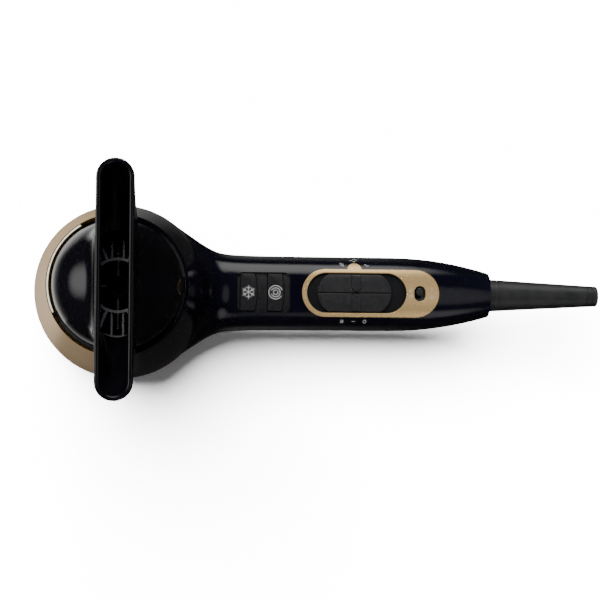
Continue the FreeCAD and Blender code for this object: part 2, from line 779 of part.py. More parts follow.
def nozzle_shell():
    """Domed base, flat flared duct and the skirt that turns on the collar."""
    outer = dome_solid(NOZZLE_R[1], DOME_HEIGHT, NOZZLE_RIM_Z).fuse(duct_solid()).Solids[0]
    outer = outer.makeFillet(DOME_FILLET, [e for e in outer.Edges if crosses_dome(e)])
    hollow = dome_solid(NOZZLE_R[1] - DOME_WALL, DOME_HEIGHT - DOME_WALL, DOME_Z - 1)
    hollow = hollow.fuse(duct_solid(SLOT_WALL))
    mouth = Part.Face(duct_section(NOZZLE_TIP_Z, SLOT_WALL)).extrude(V(0, 0, 2))
    skirt = rod(NOZZLE_R[0], NOZZLE_RIM_Z - 1, COLLAR_Z[1] + 0.3)
    groove = tube(NOZZLE_R[0] - 0.5, NOZZLE_R[0] + CLICK_HEIGHT, CLICK_Z[0] - 0.2, CLICK_Z[1] + 0.2)
    nozzle = outer.cut(hollow).cut(mouth).cut(skirt).cut(groove)
    nozzle = nozzle.makeFillet(TIP_FILLET, [e for e in nozzle.Edges if e.BoundBox.ZMin > NOZZLE_TIP_Z - 0.05])
    return nozzle.fuse(box(*KEY_TAB).cut(rod(NOZZLE_R[0] + 0.6, NOZZLE_RIM_Z - 1, DOME_Z + 10)))


# ---- controls -------------------------------------------------------------------


def control_bezel():
    bezel = band(-BEZEL_PROUD, BEZEL_DEPTH).common(bezel_prism())
    bezel = bezel.cut(window_prism()).cut(ion_slot_prism())
    rims = []
    for edge in bezel.Edges:
        middle = mid_point(edge)
        level = skin_level(middle, half_width(middle.x), half_depth(middle.x))
        if level > 1.005 and edge.Length > 0.3:
            rims.append(edge)
    return bezel.makeFillet(BEZEL_FILLET, rims)


def stem_room(side, reach, margin):
    """Space that one slider's stem sweeps through."""
    y0, y1 = sorted((side * STEM_Y[0], side * STEM_Y[1]))
    half = STEM_HALF_LENGTH + reach + margin
    return box(RIDGE_X - half, RIDGE_X + half, y0 - margin, y1 + margin, BOARD_Z + 4, HANDLE_Z + 30)


def control_plate():
    plate = straight_handle(HANDLE_WALL).cut(straight_handle(PLATE_BOTTOM))
    plate = plate.common(window_prism(1.5)).common(handle(HANDLE_WALL))
    for side in (-1, 1):
        plate = plate.cut(stem_room(side, SLIDER_TRAVEL, STEM_GAP))
    return plate.cut(rod(POST_R + 0.2, HANDLE_Z, HANDLE_Z + 30, SCREW_X[0]))


def slider_outline():
    """Half of the thumb plate with bowed ends, on the +Y side."""
    x0, x1 = SLIDER_X
    low = SLIDER_SPLIT
    high = SLIDER_EDGE_Y
    a = x0 + SLIDER_END_RISE
    b = x1 - SLIDER_END_RISE
    knee_y = low + (high - low) * 0.62
    return [
        line(V(x0, low, 0), V(x1, low, 0)),
        arc(V(x1, low, 0), V(x1 - SLIDER_BOW, knee_y, 0), V(b, high, 0)),
        line(V(b, high, 0), V(a, high, 0)),
        arc(V(a, high, 0), V(x0 + SLIDER_BOW, knee_y, 0), V(x0, low, 0)),
    ]


def grip_ridge():
    """Raised bar across a slider, pointed where it meets the other slider's."""
    half = RIDGE_WIDTH / 2
    high = SLIDER_EDGE_Y - 0.4
    outline = [
        V(RIDGE_X, SLIDER_SPLIT + 0.2, 0), V(RIDGE_X + half, 2.2, 0), V(RIDGE_X + half, high, 0),
        V(RIDGE_X - half, high, 0), V(RIDGE_X - half, 2.2, 0),
    ]
    edges = [line(p, q) for p, q in zip(outline, outline[1:] + outline[:1])]
    bar = prism(edges, HANDLE_Z + 15, HANDLE_Z + 40)
    layer = straight_handle(SLIDER_TOP - RIDGE_HEIGHT).cut(straight_handle(SLIDER_TOP + 0.4))
    bar = bar.common(layer)
    return bar.makeFillet(RIDGE_FILLET, [e for e in bar.Edges if skin_level(mid_point(e)) > 1.15])


def slider(side):
    plate = straight_handle(SLIDER_TOP).cut(straight_handle(SLIDER_BOTTOM))
    plate = plate.common(prism(slider_outline(), HANDLE_Z + 12, HANDLE_Z + 40))
    plate = plate.makeFillet(SLIDER_FILLET, [e for e in plate.Edges if skin_level(mid_point(e)) > 0.98])
    top = plate.fuse(grip_ridge()).removeSplitter()
    stem = stem_room(1, 0, 0).common(straight_handle(SLIDER_TOP + 0.6))
    top = top.fuse(stem).removeSplitter()
    if side < 0:
        top = top.mirror(ORIGIN, V(0, 1, 0))
    return top


def slide_switch(side):
    y0, y1 = sorted((side * SWITCH_Y[0], side * SWITCH_Y[1]))
    half = SWITCH_HALF_LENGTH
    body = box(RIDGE_X - half, RIDGE_X + half, y0, y1, BOARD_Z + BOARD_THICK, SWITCH_TOP_Z)
    return body.cut(stem_room(side, SLIDER_TRAVEL, STEM_GAP))


def ion_slider():
    """Small domed knob in the bezel's cross slot, with its stem."""
    half_x = ION_KNOB[0] / 2
    half_y = ION_KNOB[1] / 2
    top = HANDLE_Z + half_depth(ION_X)
    knob = prism(stadium(-half_y, half_y, half_x), top - 4.0, top + 0.3)
    rim = [e for e in knob.Edges if e.BoundBox.ZMin > top + 0.2]
    knob = knob.makeFillet(0.7, rim)
    knob.rotate(ORIGIN, UP, 90)
    knob.translate(V(ION_X, ION_REST_Y, 0))
    return knob.fuse(rod(1.0, BOARD_Z + 4, top - 3, ION_X, ION_REST_Y)).removeSplitter()


def ion_switch():
    body = box(ION_X - 5, ION_X + 5, -5, 5, BOARD_Z + BOARD_THICK, SWITCH_TOP_Z - 1)
    room = box(ION_X - 1.4, ION_X + 1.4, ION_REST_Y - ION_TRAVEL - 1.4, ION_REST_Y + 1.4, BOARD_Z + 3.5, 90)
    return body.cut(room)


def circuit_board():
    return box(BOARD_X[0], BOARD_X[1], -BOARD_HALF_WIDTH, BOARD_HALF_WIDTH, BOARD_Z, BOARD_Z + BOARD_THICK)


def key_outline(x0, x1, margin=0.0):
    """Key seen from above: straight on the left, bowed out on the right."""
    a = x0 - margin
    b = x1 + margin
    y = KEY_HALF_WIDTH + margin
    return [
        line(V(a, -y, 0), V(a, y, 0)),
        line(V(a, y, 0), V(b - KEY_BULGE, y, 0)),
        arc(V(b - KEY_BULGE, y, 0), V(b, 0, 0), V(b - KEY_BULGE, -y, 0)),
        line(V(b - KEY_BULGE, -y, 0), V(a, -y, 0)),
    ]


def button_frame():
    plate = band(RECESS_DEPTH, FRAME_BOTTOM).common(recess_prism())
    flange = band(HANDLE_WALL, FRAME_BOTTOM).common(recess_prism(FRAME_FLANGE))
    frame = plate.fuse(flange).removeSplitter()
    for x0, x1 in (COOL_KEY_X, TURBO_KEY_X):
        frame = frame.cut(prism(key_outline(x0, x1, KEY_GAP), HANDLE_Z, HANDLE_Z + 40))
    return frame.cut(rod(POST_R + 0.2, HANDLE_Z, HANDLE_Z + 30, SCREW_X[0]))


def key(x0, x1):
    """Key with a face that rises towards its bowed edge, on a foot and a stem."""
    top = handle(0.1).common(prism(key_outline(x0, x1), KEY_FOOT_Z, HANDLE_Z + 30))
    crest = HANDLE_Z + HANDLE_HALF_DEPTH
    low = V(x0 - 1, -15, crest - KEY_DIP)
    high = V(x1 - KEY_LIP, -15, crest)
    above = V(0, 0, 4)
    wedge = Part.Face(Part.makePolygon([low, high, high + above, low + above, low])).extrude(V(0, 30, 0))
    top = top.cut(wedge)
    rims = [e for e in top.Edges if mid_point(e).z > 78.6 and abs(e.tangentAt(e.FirstParameter).z) < 0.9]
    top = top.makeFillet(KEY_FILLET, rims)
    foot = box(x0 - 0.8, x1 + 0.5, -6.0, 6.0, KEY_FOOT_Z, KEY_FOOT_Z + 1.2)
    stem = rod(1.5, KEY_FOOT_Z - 3.2, KEY_FOOT_Z + 1, (x0 + x1) / 2)
    return top.fuse(foot).fuse(stem).removeSplitter()


def key_spring(x0, x1):
    height = KEY_FOOT_Z - SPRING_FOOT_Z - 2 * SPRING_WIRE_R
    helix = Part.makeHelix(height / SPRING_TURNS, height, SPRING_R)
    start = V(SPRING_R, 0, 0)
    profile = Part.Wire(Part.makeCircle(SPRING_WIRE_R, start, V(0, 1, 0)))
    coil = Part.Wire(helix.Edges).makePipeShell([profile], True, True)
    coil.translate(V((x0 + x1) / 2, 0, SPRING_FOOT_Z + SPRING_WIRE_R))
    return coil


def microswitch(x0, x1):
    middle = (x0 + x1) / 2
    length, width = KEY_SWITCH_HALF
    return box(middle - length, middle + length, -width, width, KEY_BOARD_Z[1], SPRING_FOOT_Z)


def button_board():
    half = KEY_BOARD_HALF_WIDTH
    return box(KEY_BOARD_X[0], KEY_BOARD_X[1], -half, half, KEY_BOARD_Z[0], KEY_BOARD_Z[1])


# ---- cord entry and leads -------------------------------------------------------


def strain_relief():
    """Flanged soft sleeve, ringed near both ends."""
    x0 = HANDLE_END_X
    x1 = RELIEF_END_X
    r0, r1 = RELIEF_R
    sleeve = Part.makeCone(r0, r1, x1 - x0, V(x0, 0, HANDLE_Z), ALONG_X)
    inside = x0 - END_WALL
    sleeve = sleeve.fuse(rod_x(r0, inside, x0))
    sleeve = sleeve.fuse(rod_x(RELIEF_FLANGE_R, inside - RELIEF_FLANGE, inside))
    for along in RELIEF_RINGS:
        x = x0 + along
        radius = r0 + (r1 - r0) * along / (x1 - x0)
        groove = rod_x(radius + 2, x, x + RING_WIDTH).cut(rod_x(radius - RING_DEPTH, x - 1, x + 2))
        sleeve = sleeve.cut(groove)
    sleeve = sleeve.cut(rod_x(CORD_R, x0 - 20, x1 + 1))
    mouth = [e for e in sleeve.Edges if e.BoundBox.XMin > x1 - 0.01 and e.BoundBox.YMax > CORD_R + 0.3]
    return sleeve.makeFillet(0.8, mouth)


def cord_clamp():
    x0, x1 = CLAMP_X
    z0, z1 = CLAMP_Z
    block = box(x0, x1, -CLAMP_HALF_WIDTH, CLAMP_HALF_WIDTH, z0, z1).cut(rod_x(CORD_R, x0 - 1, x1 + 1))
    for y in (-CLAMP_SCREW_Y, CLAMP_SCREW_Y):
        block = block.cut(rod(CLAMP_SCREW_R, z0 - 1, z1 + 1, (x0 + x1) / 2, y))
    return block


def clamp_screws():
    x = (CLAMP_X[0] + CLAMP_X[1]) / 2
    z0, z1 = CLAMP_Z
    screws = []
    for y in (-CLAMP_SCREW_Y, CLAMP_SCREW_Y):
        screws.append(rod(CLAMP_SCREW_R, z0 + 1, z1, x, y).fuse(rod(2.0, z1, z1 + 1.4, x, y)))
    return Part.makeCompound(screws)


def mains_leads():
    leads = []
    for y in (-LEAD_Y, LEAD_Y):
        near = y / 3
        route = [(176, near, 62), (167.5, near, 62), (166, y, 62), (158, y, 62), (152, y, 64.8)]
        leads.append(wire_path(route, LEAD_R))
    return Part.makeCompound(leads)


def heater_leads():
    leads = []
    for y in (-LEAD_Y, LEAD_Y):
        route = [(96, y, 60), (50, y, 60), (46, y, 66), (36, y, 80), (31, y, 100), (28, y, 112)]
        leads.append(wire_path(route, LEAD_R))
    return Part.makeCompound(leads)


def build():
    os.makedirs("parts", exist_ok=True)
    form = outer_form()
    skin = form.cut(inner_form())
    save(main_housing(skin), "main_housing")
    save(front_handle_cover(skin, form), "front_handle_cover")
    save(rear_handle_cover(skin, form), "rear_handle_cover")
    save(barrel_cover(), "barrel_cover")
    save(housing_screws(), "housing_screws")
    save(rear_cap(), "rear_cap")
    save(inlet_filter(), "inlet_filter")
    save(inlet_bell(), "inlet_bell")
    save(air_duct(), "air_duct")
    save(impeller(), "impeller")
    save(fan_shaft(), "fan_shaft")
    save(motor_rotor(), "motor_rotor")
    save(motor_can(), "motor_can")
    save(motor_magnets(), "motor_magnets")
    save(bearing(MOTOR_Z[0]), "rear_bearing")
    save(bearing(MOTOR_Z[1] - 3), "front_bearing")
    save(damper_rings(), "damper_rings")
    save(motor_mount(), "motor_mount")
    save(heat_tube(), "heat_tube")
    first_board, second_board = mica_boards()
    save(first_board, "mica_board_first")
    save(second_board, "mica_board_second")
    save(outer_coil(), "heater_coil_outer")
    save(inner_coil(HEATER_WIRE_R), "heater_coil_inner")
    save(thermostat(), "thermostat")
    save(thermal_fuse(), "thermal_fuse")
    save(ion_emitter(), "ion_emitter")
    save(ion_generator(), "ion_generator")
    save(front_neck(), "front_neck")
    save(outlet_grille(), "outlet_grille")
    save(nozzle_collar(), "nozzle_collar")
    save(nozzle_shell(), "nozzle_shell")
    save(control_bezel(), "control_bezel")
    save(control_plate(), "control_plate")
    save(slider(1), "heat_slider")
    save(slider(-1), "air_slider")
    save(slide_switch(1), "heat_switch")
    save(slide_switch(-1), "air_switch")
    save(ion_slider(), "ion_slider")
    save(ion_switch(), "ion_switch")
    save(circuit_board(), "circuit_board")
    save(button_frame(), "button_frame")
    save(button_board(), "button_board")
    for name, (x0, x1) in (("cool", COOL_KEY_X), ("turbo", TURBO_KEY_X)):
        save(key(x0, x1), name + "_button")
        save(key_spring(x0, x1), name + "_spring")
        save(microswitch(x0, x1), name + "_microswitch")
    save(strain_relief(), "strain_relief")
    save(cord_clamp(), "cord_clamp")
    save(clamp_screws(), "clamp_screws")
    save(mains_leads(), "mains_leads")
    save(heater_leads(), "heater_leads")


build()
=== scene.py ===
import json
import math

import bmesh
import bpy
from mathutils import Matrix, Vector
from mathutils.bvhtree import BVHTree


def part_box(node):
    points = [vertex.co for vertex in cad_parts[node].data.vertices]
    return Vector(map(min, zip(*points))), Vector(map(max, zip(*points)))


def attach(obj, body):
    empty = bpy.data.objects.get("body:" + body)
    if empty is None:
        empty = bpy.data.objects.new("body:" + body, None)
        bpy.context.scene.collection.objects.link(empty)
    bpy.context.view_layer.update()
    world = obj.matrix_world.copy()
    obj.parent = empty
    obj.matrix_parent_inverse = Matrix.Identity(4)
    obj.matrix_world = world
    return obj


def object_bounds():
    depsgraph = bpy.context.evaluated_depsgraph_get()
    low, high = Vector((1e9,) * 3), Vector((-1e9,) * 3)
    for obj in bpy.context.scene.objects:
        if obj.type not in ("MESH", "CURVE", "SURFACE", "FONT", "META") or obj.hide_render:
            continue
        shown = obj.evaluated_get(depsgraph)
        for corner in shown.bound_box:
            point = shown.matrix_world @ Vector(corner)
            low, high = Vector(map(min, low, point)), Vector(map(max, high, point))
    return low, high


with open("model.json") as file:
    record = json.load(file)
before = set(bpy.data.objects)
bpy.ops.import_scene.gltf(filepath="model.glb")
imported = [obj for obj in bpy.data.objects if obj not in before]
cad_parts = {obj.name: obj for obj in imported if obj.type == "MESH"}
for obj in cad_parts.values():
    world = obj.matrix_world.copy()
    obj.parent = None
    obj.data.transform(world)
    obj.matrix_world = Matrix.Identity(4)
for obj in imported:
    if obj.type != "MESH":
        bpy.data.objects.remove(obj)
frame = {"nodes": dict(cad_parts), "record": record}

CAD_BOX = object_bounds()
MM = 0.001
NOISE_SPREAD = (0.3, 0.7)
COAT_ROUGHNESS = 0.04


# ---- materials ------------------------------------------------------------------


class Surface:
    """A node material with one Principled shader and helpers for its detail."""

    def __init__(self, name, metallic=0.0, coat=0.0, specular=0.5):
        self.material = bpy.data.materials.new(name)
        self.material.use_nodes = True
        self.nodes = self.material.node_tree.nodes
        self.links = self.material.node_tree.links
        self.shader = self.nodes["Principled BSDF"]
        self.shader.inputs["Metallic"].default_value = metallic
        self.shader.inputs["Coat Weight"].default_value = coat
        self.shader.inputs["Coat Roughness"].default_value = COAT_ROUGHNESS
        self.shader.inputs["Specular IOR Level"].default_value = specular
        self.place = self.nodes.new("ShaderNodeTexCoord").outputs["Object"]

    def noise(self, scale, detail=3.0, stretch=(1.0, 1.0, 1.0)):
        mapping = self.nodes.new("ShaderNodeMapping")
        mapping.inputs["Scale"].default_value = stretch
        self.links.new(self.place, mapping.inputs["Vector"])
        texture = self.nodes.new("ShaderNodeTexNoise")
        texture.inputs["Scale"].default_value = scale
        texture.inputs["Detail"].default_value = detail
        self.links.new(mapping.outputs["Vector"], texture.inputs["Vector"])
        return texture.outputs["Fac"]

    def cells(self, scale):
        texture = self.nodes.new("ShaderNodeTexVoronoi")
        texture.inputs["Scale"].default_value = scale
        self.links.new(self.place, texture.inputs["Vector"])
        return texture.outputs["Distance"]

    def vary_color(self, source, low, high):
        ramp = self.nodes.new("ShaderNodeValToRGB")
        for element, position, color in zip(ramp.color_ramp.elements, NOISE_SPREAD, (low, high)):
            element.position = position
            element.color = (*color, 1.0)
        self.links.new(source, ramp.inputs["Fac"])
        self.links.new(ramp.outputs["Color"], self.shader.inputs["Base Color"])

    def vary_roughness(self, source, low, high):
        spread = self.nodes.new("ShaderNodeMapRange")
        spread.inputs["From Min"].default_value = NOISE_SPREAD[0]
        spread.inputs["From Max"].default_value = NOISE_SPREAD[1]
        spread.inputs["To Min"].default_value = low
        spread.inputs["To Max"].default_value = high
        self.links.new(source, spread.inputs["Value"])
        self.links.new(spread.outputs["Result"], self.shader.inputs["Roughness"])

    def bump(self, source, strength, distance):
        bump = self.nodes.new("ShaderNodeBump")
        bump.inputs["Strength"].default_value = strength
        bump.inputs["Distance"].default_value = distance
        self.links.new(source, bump.inputs["Height"])
        self.links.new(bump.outputs["Normal"], self.shader.inputs["Normal"])


def gloss_black():
    """Piano-black moulding with a blue cast and the faintest orange peel."""
    skin = Surface("gloss_black")
    skin.vary_color(skin.noise(18.0), (0.0002, 0.0002, 0.0005), (0.0004, 0.0004, 0.0008))
    skin.vary_roughness(skin.noise(60.0, 5.0), 0.07, 0.12)
    skin.bump(skin.noise(900.0, 2.0), 0.02, 0.00002)
    return skin.material


def nozzle_black():
    """The nozzle's own black: more neutral and a little duller than the housing's."""
    skin = Surface("nozzle_black")
    skin.vary_color(skin.noise(25.0), (0.0002, 0.0002, 0.0003), (0.0004, 0.0004, 0.0006))
    skin.vary_roughness(skin.noise(80.0, 5.0), 0.08, 0.14)
    skin.bump(skin.noise(900.0, 2.0), 0.02, 0.00002)
    return skin.material


def champagne():
    """Satin metallic paint: fine flakes over a warm base."""
    paint = Surface("champagne", metallic=1.0, coat=0.05)
    paint.vary_color(paint.noise(2600.0, 2.0), (0.58, 0.315, 0.02), (0.66, 0.37, 0.04))
    paint.vary_roughness(paint.noise(1400.0, 3.0), 0.27, 0.38)
    paint.bump(paint.noise(2200.0, 2.0), 0.10, 0.00003)
    return paint.material


def bezel_gold_shaded():
    """The same kind of paint on the flat bezel, in a deeper base colour: painted shade, set for how light
    falls on the flat face.
    """
    paint = Surface("bezel_gold_shaded", metallic=0.93, coat=0.05)
    paint.vary_color(paint.noise(2600.0, 2.0), (0.34, 0.23, 0.10), (0.42, 0.29, 0.14))
    paint.vary_roughness(paint.noise(1400.0, 3.0), 0.24, 0.36)
    paint.bump(paint.noise(2200.0, 2.0), 0.10, 0.00003)
    return paint.material


def lip_painted_highlight():
    """Pale, near-white paint on the narrow lip of the metallic cover: a painted highlight for the bright line
    the lip catches.
    """
    edge = Surface("lip_painted_highlight", metallic=0.3)
    edge.vary_color(edge.noise(400.0), (0.11, 0.10, 0.084), (0.15, 0.14, 0.12))
    edge.vary_roughness(edge.noise(900.0, 3.0), 0.09, 0.16)
    return edge.material


def satin_black():
    plastic = Surface("satin_black", specular=0.3)
    plastic.vary_color(plastic.noise(120.0), (0.0004, 0.0004, 0.0005), (0.0008, 0.0008, 0.0009))
    plastic.vary_roughness(plastic.noise(500.0, 4.0), 0.36, 0.50)
    plastic.bump(plastic.noise(2500.0, 3.0), 0.12, 0.00004)
    return plastic.material


def grained_key():
    """Dark grey with a fine moulded grain."""
    plastic = Surface("grained_key")
    plastic.vary_color(plastic.noise(900.0, 4.0), (0.0006, 0.0006, 0.0007), (0.0015, 0.0015, 0.0016))
    plastic.vary_roughness(plastic.noise(700.0, 4.0), 0.44, 0.60)
    plastic.bump(plastic.cells(2200.0), 0.35, 0.00009)
    return plastic.material


def slider_grey():
    plastic = Surface("slider_grey")
    plastic.vary_color(plastic.noise(500.0), (0.0012, 0.0012, 0.0013), (0.0020, 0.0020, 0.0021))
    plastic.vary_roughness(plastic.noise(900.0, 4.0), 0.30, 0.40)
    plastic.bump(plastic.noise(3000.0, 3.0), 0.10, 0.00003)
    return plastic.material


def heatproof():
    plastic = Surface("heatproof")
    plastic.vary_color(plastic.noise(90.0), (0.0040, 0.0040, 0.0043), (0.0065, 0.0065, 0.0068))
    plastic.vary_roughness(plastic.noise(400.0, 4.0), 0.42, 0.58)
    plastic.bump(plastic.noise(1500.0, 3.0), 0.15, 0.00005)
    return plastic.material


def grille_grey_lit():
    """Heatproof moulding of the outlet grille, in a paler grey: painted light, so its rings show deep in the
    outlet.
    """
    plastic = Surface("grille_grey_lit")
    plastic.vary_color(plastic.noise(90.0), (0.010, 0.010, 0.011), (0.016, 0.016, 0.017))
    plastic.vary_roughness(plastic.noise(400.0, 4.0), 0.42, 0.58)
    plastic.bump(plastic.noise(1500.0, 3.0), 0.15, 0.00005)
    return plastic.material


def turned_steel():
    metal = Surface("turned_steel", metallic=1.0)
    metal.vary_color(metal.noise(300.0), (0.52, 0.52, 0.54), (0.68, 0.68, 0.70))
    metal.vary_roughness(metal.noise(900.0, 4.0, (1.0, 1.0, 12.0)), 0.20, 0.36)
    metal.bump(metal.noise(1400.0, 2.0, (1.0, 1.0, 14.0)), 0.10, 0.00003)
    return metal.material


def mica_sheet():
    sheet = Surface("mica_sheet")
    sheet.vary_color(sheet.noise(260.0, 5.0), (0.004, 0.0036, 0.003), (0.008, 0.0072, 0.006))
    sheet.vary_roughness(sheet.noise(200.0, 4.0), 0.28, 0.55)
    sheet.bump(sheet.noise(600.0, 4.0), 0.2, 0.00008)
    return sheet.material


def hot_wire():
    wire = Surface("hot_wire", metallic=1.0)
    wire.vary_color(wire.noise(700.0, 4.0), (0.06, 0.05, 0.04), (0.14, 0.11, 0.08))
    wire.vary_roughness(wire.noise(900.0, 4.0), 0.32, 0.55)
    return wire.material


def ferrite():
    block = Surface("ferrite")
    block.vary_color(block.noise(500.0, 4.0), (0.035, 0.035, 0.037), (0.07, 0.07, 0.073))
    block.vary_roughness(block.noise(600.0, 4.0), 0.5, 0.7)
    return block.material


def green_board():
    board = Surface("green_board")
    board.vary_color(board.noise(350.0, 2.0), (0.012, 0.11, 0.055), (0.03, 0.20, 0.10))
    board.vary_roughness(board.noise(500.0, 3.0), 0.28, 0.42)
    return board.material


def soft_rubber():
    """Cord-grade soft plastic, slightly waxy."""
    soft = Surface("soft_rubber")
    soft.vary_color(soft.noise(200.0, 4.0), (0.0012, 0.0012, 0.0013), (0.0020, 0.0020, 0.0021))
    soft.vary_roughness(soft.noise(500.0, 4.0), 0.38, 0.52)
    soft.bump(soft.noise(1800.0, 3.0), 0.15, 0.00005)
    return soft.material


def pad_print():
    """Pale grey printed marks."""
    ink = Surface("pad_print")
    ink.vary_color(ink.noise(1500.0, 3.0), (0.034, 0.034, 0.033), (0.050, 0.050, 0.048))
    ink.vary_roughness(ink.noise(900.0, 3.0), 0.42, 0.58)
    return ink.material


SLOT_MATERIALS = {
    "housing": gloss_black(),
    "nozzle": nozzle_black(),
    "gold": champagne(),
    "dark_plastic": satin_black(),
    "key_plastic": grained_key(),
    "duct": heatproof(),
    "steel": turned_steel(),
    "mica": mica_sheet(),
    "heater_wire": hot_wire(),
    "magnet": ferrite(),
    "board": green_board(),
    "rubber": soft_rubber(),
}
PRINT = pad_print()
# The lip's pale colour is a painted highlight.
LIP_HIGHLIGHT_PAINT = lip_painted_highlight()
SLIDER_GREY = slider_grey()
OWN_FINISH = {
    # The bezel's deeper paint colour is painted shade.
    "control_bezel": bezel_gold_shaded(),
    "heat_slider": SLIDER_GREY,
    "air_slider": SLIDER_GREY,
    "ion_slider": SLIDER_GREY,
    # The grille's paler grey is painted light.
    "outlet_grille": grille_grey_lit(),
    "front_neck": SLOT_MATERIALS["duct"],
}


def dress(node, material):
    mesh = frame["nodes"][node].data
    mesh.materials.clear()
    mesh.materials.append(material)


def dress_cad():
    for row in frame["record"]["subparts"]:
        dress(row["node"], SLOT_MATERIALS[row["material_slot"]])
    for node, material in OWN_FINISH.items():
        dress(node, material)


# ---- marks and trim -------------------------------------------------------------

# Sizes are in millimetres. Places are along the handle from the heat slider's middle, and out from the bezel.
MARK_ROOT = 0.04
KEY_MARK_R = 3.3
HEAT_WAVES = (
    (-6.0, 1.9, 2.0, 0.6),
    (-6.0, 2.7, 2.0, 0.6),
    (-0.4, 4.2, 3.0, 0.7),
    (1.0, 5.0, 2.4, 0.6),
    (6.2, 2.0, 2.2, 0.7),
)
AIR_BARS = ((-6.6, -5.0, 1.5), (-6.6, -5.0, 2.1), (-6.6, -5.0, 2.7), (-1.0, 0.8, 2.1))
AIR_RING = (5.5, 2.1, 0.75)
# Round the ion slider: a dash and rings given by their place from its middle, radius and arc.
ION_DASH = (6.1, 1.4, 2.7)
ION_RINGS = ((6.1, -1.6, 0.75, 0, 360), (-4.6, 1.5, 0.7, 40, 320), (-4.6, -1.4, 0.7, -60, 240))
LIP_ARC_DEG = (122, 204)
LIP_FROM_NOZZLE = 1.75
LIP_SINK = 0.05
LIP_BEAD_R = 0.40
SEAM_SINK = 0.12
SEAM_BEAD_R = 0.14


def surface_of(*nodes):
    """Ray target made of CAD nodes, for laying marks on their faces."""
    points = []
    faces = []
    for node in nodes:
        mesh = frame["nodes"][node].data
        start = len(points)
        points += [v.co.copy() for v in mesh.vertices]
        faces += [[start + i for i in p.vertices] for p in mesh.polygons]
    return BVHTree.FromPolygons(points, faces)


def height_on(target, x, y):
    hit = target.ray_cast(Vector((x * MM, y * MM, 0.3)), Vector((0, 0, -1)))
    return hit[0].z if hit[0] else None


def ring_points(x, y, radius, start=0.0, end=360.0):
    count = max(8, int(abs(end - start) / 8))
    points = []
    for i in range(count + 1):
        turn = math.radians(start + (end - start) * i / count)
        points.append((x + radius * math.cos(turn), y + radius * math.sin(turn)))
    return points


def densify(points, longest=0.4):
    dense = []
    for (x0, y0), (x1, y1) in zip(points, points[1:]):
        count = max(1, math.ceil(math.hypot(x1 - x0, y1 - y0) / longest))
        dense += [(x0 + (x1 - x0) * i / count, y0 + (y1 - y0) * i / count) for i in range(count)]
    return dense + [points[-1]]


def lay_marks(name, strokes, target, body, material, width=0.42, proud=0.05):
    """Thin raised ink strokes that follow the face under them. Sizes are in millimetres."""
    mesh = bmesh.new()
    for points in strokes:
        path = densify(points)
        rows = []
        for i, (x, y) in enumerate(path):
            ahead = path[min(i + 1, len(path) - 1)]
            behind = path[max(i - 1, 0)]
            run = math.hypot(ahead[0] - behind[0], ahead[1] - behind[1]) or 1.0
            nx = -(ahead[1] - behind[1]) / run * width / 2
            ny = (ahead[0] - behind[0]) / run * width / 2
            row = []
            for side in (1, -1):
                px = x + side * nx
                py = y + side * ny
                z = height_on(target, px, py)
                if z is None:
                    raise ValueError(name + " is off its surface")
                row.append(mesh.verts.new((px * MM, py * MM, z + proud * MM)))
                row.append(mesh.verts.new((px * MM, py * MM, z - MARK_ROOT * MM)))
            rows.append(row)
        for a, b in zip(rows, rows[1:]):
            mesh.faces.new((a[0], b[0], b[2], a[2]))
            mesh.faces.new((a[1], b[1], b[0], a[0]))
            mesh.faces.new((a[2], b[2], b[3], a[3]))
            mesh.faces.new((a[1], a[3], b[3], b[1]))
        for row in (rows[0], rows[-1]):
            mesh.faces.new((row[0], row[2], row[3], row[1]))
    bmesh.ops.recalc_face_normals(mesh, faces=mesh.faces)
    return finish_mesh(mesh, name, body, material)


def finish_mesh(mesh, name, body, material, smooth=False):
    data = bpy.data.meshes.new(name)
    mesh.to_mesh(data)
    mesh.free()
    piece = bpy.data.objects.new(name, data)
    bpy.context.scene.collection.objects.link(piece)
    data.materials.append(material)
    for polygon in data.polygons:
        polygon.use_smooth = smooth
    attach(piece, body)
    return piece


def snowflake(x, y, radius):
    strokes = []
    for i in range(6):
        turn = math.radians(90 + 60 * i)
        cos_t = math.cos(turn)
        sin_t = math.sin(turn)
        strokes.append([(x, y), (x + radius * cos_t, y + radius * sin_t)])
        for side in (-1, 1):
            branch = turn + side * math.radians(52)
            bx = x + radius * 0.52 * cos_t
            by = y + radius * 0.52 * sin_t
            reach = radius * 0.40
            strokes.append([(bx, by), (bx + reach * math.cos(branch), by + reach * math.sin(branch))])
    return strokes


def swirl(x, y, radius):
    return [
        ring_points(x, y, radius, 20, 330),
        ring_points(x, y, radius * 0.66, 200, 520),
        ring_points(x, y, radius * 0.33, 60, 400),
    ]


def wave(x, y, width, height):
    count = 12
    points = []
    for i in range(count + 1):
        share = i / count
        points.append((x + (share - 0.5) * width, y + height / 2 * math.sin(2 * math.pi * share)))
    return points


def key_marks():
    for node, strokes, width in (("cool_button", snowflake, 0.27), ("turbo_button", swirl, 0.32)):
        low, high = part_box(node)
        x = (low.x + high.x) / 2 / MM
        lay_marks(node + "_mark", strokes(x, 0.0, KEY_MARK_R), surface_of(node), node, PRINT, width)


